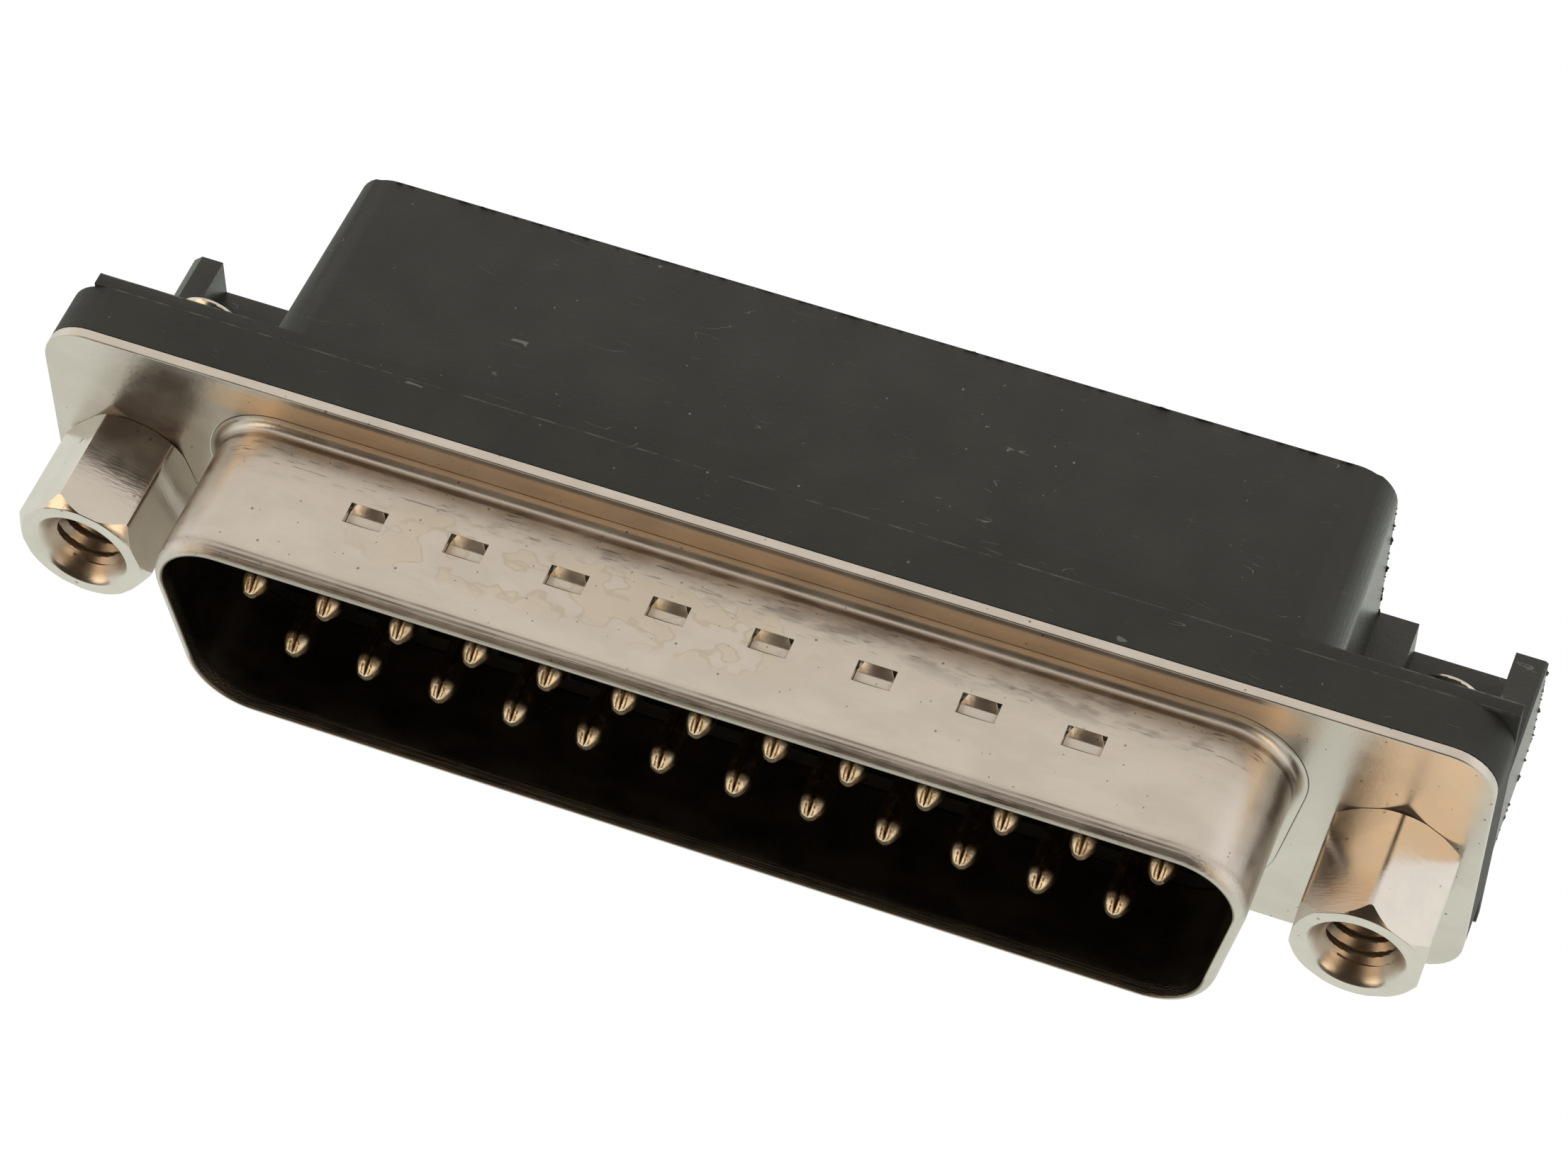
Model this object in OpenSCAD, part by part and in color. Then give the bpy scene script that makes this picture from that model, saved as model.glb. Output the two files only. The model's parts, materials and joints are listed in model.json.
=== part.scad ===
// Right-angle 25-way D-sub plug for a circuit board, with hex jackscrews.
// Every piece is drawn as seen from the mating side: X right, Y up, Z toward the mating half.
// stand() then turns it so the mating side faces -Y, +Z is up from the board, and the origin
// is midway between the two board screw holes, on the board.
// All dimensions in millimetres.

/* [Flange] */

// Height of the flange
flange_h = 12.55; // [12.3:0.05:12.8]

// Corner radius of the flange
flange_r = 1.75; // [1.2:0.05:2.2]

// Distance from the side of the shell to the jackscrew axis
screw_clear = 3.62; // [3.6:0.01:3.7]

// Distance from the jackscrew axis to the end of the flange
screw_edge = 3; // [2.9:0.02:3.14]

// Radius of the jackscrew holes in the steel flange
flange_hole_r = 1.53; // [1.48:0.01:1.65]

/* [Drawn shell] */

// Thickness of the steel sheet
sheet_t = 0.42; // [0.38:0.01:0.46]

// Distance from the last contact axis of the long row to the outside of the shell
shell_end = 3.28; // [3.2:0.02:3.4]

// Half height of the shell, outside
shell_half_h = 4.6; // [4.5:0.02:4.7]

// Radius of the shell corners, outside
shell_corner_r = 2.6; // [2.4:0.05:2.8]

// Slope of the shell ends, degrees
shell_slope = 10; // [9:0.5:11]

// How far the shell stands out of the flange
shell_l = 5.9; // [5.7:0.05:6.1]

/* [Grounding dimples] */

// Number of dimples along the wide side
dimple_count = 8; // [6:1:9]

// Distance between neighbouring dimples
dimple_pitch = 3.73; // [3.5:0.01:3.8]

// Width of one dimple
dimple_w = 1.4; // [1.2:0.05:1.6]

// Length of one dimple, root to lip direction
dimple_l = 0.86; // [0.8:0.02:1]

// Depth of one dimple
dimple_d = 0.3; // [0.2:0.02:0.36]

// Run of the dimple's slope at its root end
dimple_root_run = 0.3; // [0.2:0.02:0.34]

// Run of the dimple's slope at its lip end
dimple_lip_run = 0.15; // [0.1:0.01:0.2]

// Distance from the flange face to the rear edge of the dimples
dimple_z = 2.14; // [2:0.02:2.4]

/* [Contacts] */

// Number of contacts in the upper row
upper_count = 13; // [13:1:13]

// Number of contacts in the lower row
lower_count = 12; // [12:1:12]

// Distance between neighbouring contacts of one row
pitch = 2.77; // [2.74:0.01:2.78]

// Distance between the two rows
row_gap = 2.84; // [2.8:0.01:2.88]

// Radius of the mating pin
pin_r = 0.51; // [0.49:0.01:0.53]

// How far the pin tips stand in front of the flange face
pin_l = 4.97; // [4.8:0.01:5.1]

// Length of the tapered pin tip
tip_l = 0.62; // [0.5:0.02:0.8]

// Radius at the very end of the pin tip
tip_r = 0.22; // [0.16:0.02:0.28]

// Radius of the retention collar
collar_r = 0.85; // [0.8:0.01:0.92]

// Length of the retention collar
collar_l = 1; // [0.8:0.05:1.2]

// Radius of the bent shank and the solder tail
tail_r = 0.32; // [0.28:0.01:0.36]

// Centreline radius of the right-angle bend
bend_r = 0.9; // [0.7:0.05:1.1]

// Length of the solder tail below the board seat
tail_l = 3.2; // [2.6:0.1:3.6]

// Distance from the flange face back to the first row of tails
first_tail = 6.16; // [6.06:0.02:6.3]

// Distance between the two rows of tails
tail_row_gap = 2.84; // [2.76:0.02:2.88]

/* [Front insulator] */

// Thickness of the layer behind the steel flange
front_layer = 1.96; // [1.8:0.02:2.1]

// How far its face stands in front of the flange face
nose_l = 1.2; // [1:0.05:1.4]

// Width of each small slot in its face
slot_w = 1.35; // [1.2:0.05:1.5]

// Height of each small slot
slot_h = 0.45; // [0.35:0.05:0.55]

// Depth of each small slot
slot_d = 1.5; // [1:0.1:1.8]

// Distance of the slots below the connector axis
slot_y = 3.1; // [2.95:0.05:3.3]

/* [Rear housing] */

// Thickness of the rear layer
rear_layer = 0.51; // [0.45:0.01:0.6]

// Room between the rear row of tails and the hood's rear wall
tail_clear = 0.23; // [0.2:0.01:0.3]

// How far the hood side stands outside the side of the shell
hood_overhang = 0.3; // [0.2:0.02:0.4]

// How far the left ends of the hood and the rear layer stand inside their right-hand twins
left_inset = 1; // [0.8:0.05:1.1]

// Draft of each hood side over its length
hood_draft = 0.2; // [0.1:0.02:0.3]

// Radius of the upper long edges of the hood
hood_r = 1.6; // [1.4:0.05:1.8]

// Thickness of the wall that holds the contacts, rear layer included
holder_t = 1.92; // [1.7:0.02:2.1]

// Thickness of the hood's rear wall
hood_rear_t = 1.1; // [1:0.02:1.14]

// Thickness of the hood's side walls
hood_side_t = 1.5; // [1.4:0.05:1.7]

// Thickness of the hood's roof
hood_top_t = 1.15; // [1:0.05:1.4]

/* [Feet] */

// How far the end plates stand inside the ends of the flange
end_plate_inset = 0.27; // [0.2:0.01:0.28]

// Thickness of the end plates
end_plate_t = 1.2; // [1.1:0.02:1.28]

// Height of the end plates over the board
end_plate_h = 4.775; // [4.6:0.025:4.9]

// Bevel on the outer top edge of the end plates
end_plate_bevel = 0.35; // [0.2:0.05:0.5]

// Thickness of the ribs beside the hood
rib_t = 1.3; // [1.2:0.02:1.4]

// Height of the ribs over the board
rib_h = 4.725; // [4.6:0.025:4.9]

// Height of the screw pads over the board
pad_h = 3.075; // [2.9:0.025:3.2]

// Radius of the board screw holes
board_hole_r = 1.5; // [1.4:0.01:1.51]

/* [Jackscrews] */

// Width across the flats of the hex
hex_af = 4.55; // [4.5:0.01:4.62]

// Length of the hex in front of the flange
hex_l = 4.49; // [4.4:0.05:4.8]

// Radius of the flat ring on each end of the hex
ring_r = 2.3; // [2.24:0.01:2.36]

// Slope of the hex chamfer at the front, degrees
front_slope = 55; // [45:1:60]

// Slope of the hex chamfer at the flange, degrees
rear_slope = 35; // [30:1:45]

// Turn of the left hex, degrees
hex_turn_left = -14; // [-30:1:30]

// Turn of the right hex, degrees
hex_turn_right = 26; // [-30:1:30]

// Radius of the threaded hole in the hex
thread_hole_r = 1.2; // [1.1:0.02:1.24]

// Depth of the threaded hole
thread_hole_d = 3.35; // [3.2:0.05:3.5]

// Slope of the drill point at the bottom of the hole, degrees
drill_slope = 31; // [28:1:34]

// Radius of the countersink at the mouth of the hole
countersink_r = 1.8; // [1.6:0.02:1.9]

// Radius of the threaded stud behind the flange
stud_r = 1.42; // [1.36:0.01:1.46]

// Length of the stud behind the flange face
stud_l = 6.75; // [6.3:0.05:6.95]

// Chamfer on the end of the stud
stud_chamfer = 0.3; // [0.2:0.02:0.4]

/* [Inserts] */

// Radius of the insert where it passes through the plastic
insert_r = 1.75; // [1.7:0.01:1.8]

// Radius of the insert collar behind the housing
insert_collar_r = 1.95; // [1.9:0.01:2]

// Length of the insert collar
insert_collar_l = 2.1; // [1.8:0.05:2.3]

/* [Tail spacer] */

// Thickness of the tail spacer
spacer_t = 1; // [0.8:0.05:1.2]

// Height of its underside over the board
spacer_h = 0.3; // [0.2:0.05:0.4]

// Depth of the step it seats on, each side
spacer_step = 0.3; // [0.2:0.02:0.36]

/* [Fits] */

// Gap between the front insulator and the inside of the shell
nose_gap = 0.06; // [0.04:0.01:0.1]

// Radial gap round each pin
pin_gap = 0.02; // [0.01:0.01:0.04]

// Radial gap round each retention collar
collar_gap = 0.03; // [0.02:0.01:0.05]

// Radial gap round each insert
insert_gap = 0.02; // [0.01:0.01:0.04]

// Radial gap between the stud and the insert
thread_gap = 0.02; // [0.01:0.01:0.03]

// Gap round the tail spacer
spacer_gap = 0.03; // [0.02:0.01:0.05]

// Radial gap round each tail in the spacer
tail_gap = 0.05; // [0.03:0.01:0.08]

/* [Hidden] */
$fn = 64;
over = 0.05;
hair = 0.003;
shell_half_w = (upper_count - 1) / 2 * pitch + shell_end;
screw_x = shell_half_w + screw_clear;
flange_w = 2 * (screw_x + screw_edge);
hood_half_w = shell_half_w + hood_overhang;
rib_half_w = hood_half_w + rib_t;
foot_outer_w = flange_w / 2 - end_plate_inset;
foot_half_w = foot_outer_w - end_plate_t;
front_z = -sheet_t;
seam_z = front_z - front_layer;
rear_z = seam_z - rear_layer;
holder_z = seam_z - holder_t;
board_y = -flange_h / 2;
second_tail = first_tail + tail_row_gap;
hole_z = (first_tail + second_tail) / 2;
depth = second_tail + tail_r + tail_clear + hood_rear_t;
corner_x = shell_half_w - shell_corner_r;
corner_y = shell_half_h - shell_corner_r;
low_corner_x = corner_x - 2 * corner_y * tan(shell_slope);
shell_inner_r = shell_corner_r - sheet_t;
nose_r = shell_inner_r - nose_gap;
hood_left_w = hood_half_w - left_inset;
hood_inner_w = hood_half_w - hood_draft - hood_side_t;
hood_inner_left = hood_inner_w - left_inset;
rear_left_w = flange_w / 2 - left_inset;
hood_rear_z = -depth + hood_rear_t;
spacer_w = hood_inner_w + spacer_step;
spacer_left_w = hood_inner_left + spacer_step;
spacer_top = board_y + spacer_h + spacer_t;
hex_r = hex_af / 2 / cos(30);

// Which piece to draw; "all" draws the whole connector

function dimple_x(i) = (i - (dimple_count + 1) / 2) * dimple_pitch;
function contact_x(i) =
    i <= upper_count
    ? (i - (upper_count + 1) / 2) * pitch
    : (i - upper_count - (lower_count + 1) / 2) * pitch;
function contact_y(i) = i <= upper_count ? row_gap / 2 : -row_gap / 2;
function tail_z(i) = i <= upper_count ? -second_tail : -first_tail;

// Turns the connector the way it stands on the board.
module stand() {
    translate([0, -hole_z, flange_h / 2])
        rotate([90, 0, 0])
            children();
}

// The D outline, with corner circles of radius r about fixed centres. The straight sides sit
// a hair inside the circles, so that line and arc cross instead of just touching.
module d_outline(r) {
    flat_r = r - hair;
    side_x = flat_r * cos(shell_slope);
    side_y = flat_r * sin(shell_slope);
    polygon([
        [corner_x, corner_y + flat_r],
        [corner_x + side_x, corner_y - side_y],
        [low_corner_x + side_x, -corner_y - side_y],
        [low_corner_x, -corner_y - flat_r],
        [-low_corner_x, -corner_y - flat_r],
        [-low_corner_x - side_x, -corner_y - side_y],
        [-corner_x - side_x, corner_y - side_y],
        [-corner_x, corner_y + flat_r]
    ]);
    for (side = [-1, 1]) {
        translate([side * corner_x, corner_y])
            circle(r = r);
        translate([side * low_corner_x, -corner_y])
            circle(r = r);
    }
}

// The drawn tube that stands out of the flange.
module shell_tube() {
    difference() {
        translate([0, 0, -sheet_t])
            linear_extrude(height = sheet_t + shell_l)
                d_outline(shell_corner_r);
        translate([0, 0, -sheet_t - 1])
            linear_extrude(height = sheet_t + shell_l + 2)
                d_outline(shell_inner_r);
    }
}

// The flange plate, open under the tube and at the jackscrews.
module flange_plate() {
    difference() {
        rounded_plate(flange_w, flange_h, flange_r, -sheet_t, sheet_t);
        translate([0, 0, -sheet_t - 1])
            linear_extrude(height = sheet_t + 2)
                d_outline(shell_corner_r - sheet_t / 2);
        at_screws()
            translate([0, 0, -sheet_t - 1])
                cylinder(r = flange_hole_r, h = sheet_t + 2);
    }
}

// A flat plate with rounded corners.
module rounded_plate(w, h, r, z, t) {
    translate([0, 0, z])
        linear_extrude(height = t)
            union() {
                square([w - 2 * r, h], center = true);
                square([w, h - 2 * r], center = true);
                for (sx = [-1, 1])
                    for (sy = [-1, 1])
                        translate([sx * (w / 2 - r), sy * (h / 2 - r)])
                            circle(r = r);
            }
}

// Runs one child at each jackscrew axis.
module at_screws() {
    for (side = [-1, 1])
        translate([side * screw_x, 0, 0])
            children();
}

// Section of one dimple, root to lip against depth; up is the height it is cut over.
module dimple_profile(up) {
    polygon([
        [0, 0],
        [dimple_root_run, -dimple_d],
        [dimple_l - dimple_lip_run, -dimple_d],
        [dimple_l, 0],
        [dimple_l, up],
        [0, up]
    ]);
}

// One dimple as a solid, its surface edge at height y.
module dimple(x, y, up) {
    translate([x + dimple_w / 2, y, dimple_z])
        rotate([0, -90, 0])
            linear_extrude(height = dimple_w)
                dimple_profile(up);
}

module front_shell() {
    color("silver")
        stand()
            union() {
                difference() {
                    union() {
                        shell_tube();
                        flange_plate();
                    }
                    for (i = [1 : dimple_count])
                        dimple(dimple_x(i), shell_half_h, 0.5);
                }
                for (i = [1 : dimple_count])
                    dimple(dimple_x(i), shell_half_h - sheet_t, 0.1);
            }
}

module front_insulator() {
    color("dimgray")
        stand()
            difference() {
                union() {
                    rounded_plate(flange_w, flange_h, flange_r, seam_z, front_layer);
                    translate([0, 0, seam_z])
                        linear_extrude(height = nose_l - seam_z)
                            d_outline(nose_r);
                }
                at_screws()
                    translate([0, 0, seam_z - 1])
                        cylinder(r = insert_r + insert_gap, h = front_layer + 2);
                for (i = [1 : upper_count + lower_count])
                    translate([contact_x(i), contact_y(i), 0]) {
                        translate([0, 0, seam_z - 1])
                            cylinder(r = pin_r + pin_gap, h = nose_l - seam_z + 2);
                        translate([0, 0, seam_z - 1])
                            cylinder(r = collar_r + collar_gap, h = collar_l + 1);
                    }
                for (i = [1 : upper_count])
                    translate([contact_x(i) - slot_w / 2, -slot_y - slot_h / 2, nose_l - slot_d])
                        cube([slot_w, slot_h, slot_d + 1]);
            }
}

// The hood as one block, with soft upper edges and its sides drawn in by the draft.
module hood_block() {
    intersection() {
        translate([0, 0, -depth])
            linear_extrude(height = depth + seam_z)
                union() {
                    translate([-hood_left_w, board_y])
                        square([hood_left_w + hood_half_w, flange_h - hood_r]);
                    translate([-hood_left_w + hood_r, board_y])
                        square([hood_left_w + hood_half_w - 2 * hood_r, flange_h]);
                    for (x = [-hood_left_w + hood_r, hood_half_w - hood_r])
                        translate([x, -board_y - hood_r])
                            circle(r = hood_r);
                }
        rotate([90, 0, 0])
            translate([0, 0, -flange_h])
                linear_extrude(height = 2 * flange_h)
                    polygon([
                        [-hood_left_w, seam_z],
                        [hood_half_w, seam_z],
                        [hood_half_w, rear_z],
                        [hood_half_w - hood_draft, -depth],
                        [-hood_left_w + hood_draft, -depth],
                        [-hood_left_w, rear_z]
                    ]);
    }
}

// One foot: rib beside the hood, screw pad and end plate, all on the board.
module foot() {
    inner_w = hood_inner_w - left_inset + hood_side_t / 2;
    translate([0, 0, -depth])
        linear_extrude(height = depth + seam_z)
            polygon([
                [inner_w, board_y],
                [foot_outer_w, board_y],
                [foot_outer_w, board_y + end_plate_h - end_plate_bevel],
                [foot_outer_w - end_plate_bevel, board_y + end_plate_h],
                [foot_half_w, board_y + end_plate_h],
                [foot_half_w, board_y + pad_h],
                [rib_half_w, board_y + pad_h],
                [rib_half_w, board_y + rib_h],
                [inner_w, board_y + rib_h]
            ]);
}

module rear_housing() {
    color("dimgray")
        stand()
            difference() {
                union() {
                    translate([-rear_left_w, board_y, rear_z])
                        cube([rear_left_w + flange_w / 2, flange_h, rear_layer]);
                    hood_block();
                    foot();
                    mirror([1, 0, 0])
                        foot();
                }
                translate([-hood_inner_left, board_y - 1, hood_rear_z])
                    cube([
                        hood_inner_left + hood_inner_w,
                        flange_h + 1 - hood_top_t,
                        holder_z - hood_rear_z
                    ]);
                translate([-spacer_left_w, board_y - 1, hood_rear_z])
                    cube([
                        spacer_left_w + spacer_w,
                        spacer_h + spacer_t + 1,
                        holder_z - hood_rear_z
                    ]);
                for (i = [1 : upper_count + lower_count])
                    translate([contact_x(i), contact_y(i), holder_z - 1])
                        cylinder(r = pin_r + pin_gap, h = holder_t + 2);
                at_screws()
                    translate([0, 0, rear_z - 1])
                        cylinder(r = insert_r + insert_gap, h = rear_layer + 2);
                at_screws()
                    translate([0, board_y + pad_h + 1, -hole_z])
                        rotate([90, 0, 0])
                            cylinder(r = board_hole_r, h = pad_h + 2);
            }
}

module tail_spacer() {
    color("dimgray")
        stand()
            difference() {
                translate([
                    -spacer_left_w + spacer_gap,
                    spacer_top - spacer_t,
                    hood_rear_z + spacer_gap
                ])
                    cube([
                        spacer_left_w + spacer_w - 2 * spacer_gap,
                        spacer_t,
                        holder_z - hood_rear_z - 2 * spacer_gap
                    ]);
                for (i = [1 : upper_count + lower_count])
                    translate([contact_x(i), spacer_top + 1, tail_z(i)])
                        rotate([90, 0, 0])
                            cylinder(r = tail_r + tail_gap, h = spacer_t + 2);
            }
}

module contact(i) {
    x = contact_x(i);
    y = contact_y(i);
    z = tail_z(i);
    color("gold")
        stand()
            translate([x, y, 0])
                union() {
                    rotate_extrude()
                        polygon([
                            [0, holder_z],
                            [pin_r, holder_z],
                            [pin_r, seam_z],
                            [collar_r, seam_z],
                            [collar_r, seam_z + collar_l],
                            [pin_r, seam_z + collar_l],
                            [pin_r, pin_l - tip_l],
                            [tip_r, pin_l],
                            [0, pin_l]
                        ]);
                    translate([0, 0, z + bend_r])
                        cylinder(r = tail_r, h = holder_z - z - bend_r + over);
                    translate([0, -bend_r, z + bend_r])
                        rotate([0, -90, 0])
                            rotate([0, 0, 90])
                                rotate_extrude(angle = 90)
                                    translate([bend_r, 0])
                                        circle(r = tail_r);
                    translate([0, -bend_r, z])
                        rotate([90, 0, 0])
                            cylinder(r = tail_r, h = y - bend_r - board_y + tail_l);
                }
}

module jackscrew(side, turn) {
    color("gainsboro")
        stand()
            translate([side * screw_x, 0, 0])
                difference() {
                    union() {
                        intersection() {
                            rotate([0, 0, turn])
                                cylinder(r = hex_r, h = hex_l, $fn = 6);
                            rotate_extrude()
                                polygon([
                                    [0, 0],
                                    [ring_r, 0],
                                    [hex_r + over, (hex_r + over - ring_r) * tan(rear_slope)],
                                    [hex_r + over, hex_l - (hex_r + over - ring_r) * tan(front_slope)],
                                    [ring_r, hex_l],
                                    [0, hex_l]
                                ]);
                        }
                        rotate_extrude()
                            polygon([
                                [0, -stud_l],
                                [stud_r - stud_chamfer, -stud_l],
                                [stud_r, -stud_l + stud_chamfer],
                                [stud_r, 1],
                                [0, 1]
                            ]);
                    }
                    rotate_extrude()
                        polygon([
                            [0, hex_l - thread_hole_d - thread_hole_r * tan(drill_slope)],
                            [thread_hole_r, hex_l - thread_hole_d],
                            [thread_hole_r, hex_l - countersink_r + thread_hole_r],
                            [countersink_r, hex_l],
                            [countersink_r, hex_l + 1],
                            [0, hex_l + 1]
                        ]);
                }
}

module insert(side) {
    color("darkkhaki")
        stand()
            translate([side * screw_x, 0, 0])
                difference() {
                    union() {
                        translate([0, 0, rear_z])
                            cylinder(r = insert_r, h = front_z - rear_z);
                        translate([0, 0, rear_z - insert_collar_l])
                            cylinder(r = insert_collar_r, h = insert_collar_l);
                    }
                    translate([0, 0, rear_z - insert_collar_l - over])
                        cylinder(
                            r = stud_r + thread_gap,
                            h = insert_collar_l + front_z - rear_z + 2 * over
                        );
                }
}

front_shell();
front_insulator();
rear_housing();
tail_spacer();
jackscrew(-1, hex_turn_left);  // jackscrew_left
jackscrew(1, hex_turn_right);  // jackscrew_right
insert(-1);  // insert_left
insert(1);  // insert_right
contact(1);  // contact_1
contact(2);  // contact_2
contact(3);  // contact_3
contact(4);  // contact_4
contact(5);  // contact_5
contact(6);  // contact_6
contact(7);  // contact_7
contact(8);  // contact_8
contact(9);  // contact_9
contact(10);  // contact_10
contact(11);  // contact_11
contact(12);  // contact_12
contact(13);  // contact_13
contact(14);  // contact_14
contact(15);  // contact_15
contact(16);  // contact_16
contact(17);  // contact_17
contact(18);  // contact_18
contact(19);  // contact_19
contact(20);  // contact_20
contact(21);  // contact_21
contact(22);  // contact_22
contact(23);  // contact_23
contact(24);  // contact_24
contact(25);  // contact_25
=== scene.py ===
# %% [markdown]
# # A right-angle D-sub plug, drawn shell and all
#
# The connector is six kinds of piece: a steel shell drawn from sheet, a black insulator that
# holds the pins, a black hood that covers their bend, stamped pins, turned jackscrews, and the
# little brass inserts they screw into. This lesson dresses the exact solids of the part with
# the things a solid model leaves out: the rolled lip, the lanced dimples, the screw threads,
# the coined pin tips, the flash of the mould and what years of handling did to the plating.

# %% Load the exact solids
import bpy
import bmesh
import json
import math
from mathutils import Matrix, Vector, noise


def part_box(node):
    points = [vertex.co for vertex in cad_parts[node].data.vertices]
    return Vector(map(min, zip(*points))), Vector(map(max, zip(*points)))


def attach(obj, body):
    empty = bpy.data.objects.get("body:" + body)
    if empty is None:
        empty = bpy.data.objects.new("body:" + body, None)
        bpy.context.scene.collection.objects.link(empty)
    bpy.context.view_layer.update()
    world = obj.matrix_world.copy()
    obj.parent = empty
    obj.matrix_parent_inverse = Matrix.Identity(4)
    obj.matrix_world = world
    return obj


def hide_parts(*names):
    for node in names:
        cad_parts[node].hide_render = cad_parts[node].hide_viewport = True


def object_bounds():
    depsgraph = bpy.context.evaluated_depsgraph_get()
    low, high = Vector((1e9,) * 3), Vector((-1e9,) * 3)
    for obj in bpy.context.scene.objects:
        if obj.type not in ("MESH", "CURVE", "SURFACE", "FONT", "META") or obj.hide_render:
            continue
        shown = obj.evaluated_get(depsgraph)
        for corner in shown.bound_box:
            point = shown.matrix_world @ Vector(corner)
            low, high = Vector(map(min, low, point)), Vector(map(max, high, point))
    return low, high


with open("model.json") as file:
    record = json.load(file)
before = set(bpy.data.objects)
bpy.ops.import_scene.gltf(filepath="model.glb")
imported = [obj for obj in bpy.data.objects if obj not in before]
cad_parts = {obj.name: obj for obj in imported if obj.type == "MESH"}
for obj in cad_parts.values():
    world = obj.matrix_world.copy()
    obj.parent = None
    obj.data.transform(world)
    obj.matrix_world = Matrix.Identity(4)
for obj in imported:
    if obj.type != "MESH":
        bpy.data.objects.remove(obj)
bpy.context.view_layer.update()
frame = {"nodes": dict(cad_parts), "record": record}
print("nodes:", len(frame["nodes"]))

# %% [markdown]
# ## One way to say where things are
#
# Everything is measured from the flange, as a maker's drawing does: x to the right, d back
# from the flange's front face, h up from the axis of the plug. All three are in millimetres.
# `P` turns them into the scene's metres. The flange face and the axis come from the solids,
# so a change there moves every dressed piece with it.

# %% Places, from the solids
SHEET = 0.42
_lo, _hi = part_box("front_shell")
MM = 0.001
FACE_Y = _hi[1] - SHEET * MM
AXIS_Z = (_lo[2] + _hi[2]) / 2
FLANGE_W = (_hi[0] - _lo[0]) / MM
FLANGE_H = (_hi[2] - _lo[2]) / MM
SHELL_L = (FACE_Y - _lo[1]) / MM
_lo, _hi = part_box("rear_housing")
SEAM_D = (_lo[1] - FACE_Y) / MM
DEPTH = (_hi[1] - FACE_Y) / MM
_lo, _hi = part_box("contact_1")
PIN_L = (FACE_Y - _lo[1]) / MM
TAIL_H = (_lo[2] - AXIS_Z) / MM
SCREW_X = sum(c[0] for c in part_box("insert_right")) / 2 / MM
BOARD_H = -FLANGE_H / 2


def P(x, d, h):
    """A point: x right, d behind the flange face, h above the axis, in millimetres."""
    return Vector((x * MM, FACE_Y + d * MM, AXIS_Z + h * MM))


print("shell", round(SHELL_L, 2), "depth", round(DEPTH, 2), "screws at", round(SCREW_X, 2))

# %% [markdown]
# ## Small tools
#
# Most pieces are grids: rows of points, each row joined to the next. `grid_faces` makes the
# quads, `mesh_piece` the object. Normals are made to agree afterwards, so a row may run either
# way round. Sharp edges are told apart by angle, which is what a bevelled or turned part wants.

# %% Mesh helpers


def grid_faces(rows, cols, start=0, wrap_cols=True, wrap_rows=False):
    """Quads over rows x cols points that were added row by row."""
    faces = []
    for r in range(rows if wrap_rows else rows - 1):
        for c in range(cols if wrap_cols else cols - 1):
            r2 = (r + 1) % rows
            c2 = (c + 1) % cols
            faces.append((start + r * cols + c, start + r * cols + c2,
                          start + r2 * cols + c2, start + r2 * cols + c))
    return faces


def mesh_piece(name, verts, faces, smooth_angle=35):
    """A new object from points and faces, with its normals made consistent."""
    mesh = bpy.data.meshes.new(name)
    mesh.from_pydata([tuple(v) for v in verts], [], faces)
    bm = bmesh.new()
    bm.from_mesh(mesh)
    bmesh.ops.remove_doubles(bm, verts=bm.verts, dist=1e-7)
    bmesh.ops.recalc_face_normals(bm, faces=bm.faces)
    bm.to_mesh(mesh)
    bm.free()
    obj = bpy.data.objects.new(name, mesh)
    bpy.context.scene.collection.objects.link(obj)
    shade(obj, smooth_angle)
    return obj


def shade(obj, angle):
    """Smooth shading, with the edges sharper than angle kept hard."""
    for poly in obj.data.polygons:
        poly.use_smooth = True
    bm = bmesh.new()
    bm.from_mesh(obj.data)
    limit = math.radians(angle)
    for edge in bm.edges:
        edge.smooth = not (len(edge.link_faces) == 2 and edge.calc_face_angle(0) > limit)
    bm.to_mesh(obj.data)
    bm.free()


def bake(obj):
    """Turns an object's modifiers into plain mesh."""
    deps = bpy.context.evaluated_depsgraph_get()
    mesh = bpy.data.meshes.new_from_object(obj.evaluated_get(deps))
    obj.modifiers.clear()
    obj.data = mesh
    return obj


def bevel(obj, width, segments=2, angle=30):
    """Rounds an object's sharp edges by width millimetres."""
    mod = obj.modifiers.new("bevel", "BEVEL")
    mod.width = width * MM
    mod.segments = segments
    mod.limit_method = "ANGLE"
    mod.angle_limit = math.radians(angle)
    mod.harden_normals = False
    return bake(obj)


def cut(obj, *tools):
    """Takes the tools out of an object, and throws the tools away."""
    for tool in tools:
        mod = obj.modifiers.new("cut", "BOOLEAN")
        mod.operation = "DIFFERENCE"
        mod.solver = "EXACT"
        mod.object = tool
        bake(obj)
        bpy.data.objects.remove(tool)
    return obj


def join(obj, *others):
    """Adds the meshes of other objects to the first."""
    bm = bmesh.new()
    bm.from_mesh(obj.data)
    for other in others:
        bm.from_mesh(other.data)
        bpy.data.objects.remove(other)
    bm.to_mesh(obj.data)
    bm.free()
    return obj


def box(name, x0, x1, d0, d1, h0, h1):
    """A plain block between two corners, in millimetres."""
    pts = [P(x, d, h) for d in (d0, d1) for h in (h0, h1) for x in (x0, x1)]
    faces = [(0, 1, 3, 2), (4, 6, 7, 5), (0, 4, 5, 1), (2, 3, 7, 6), (0, 2, 6, 4), (1, 5, 7, 3)]
    return mesh_piece(name, pts, faces)


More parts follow.
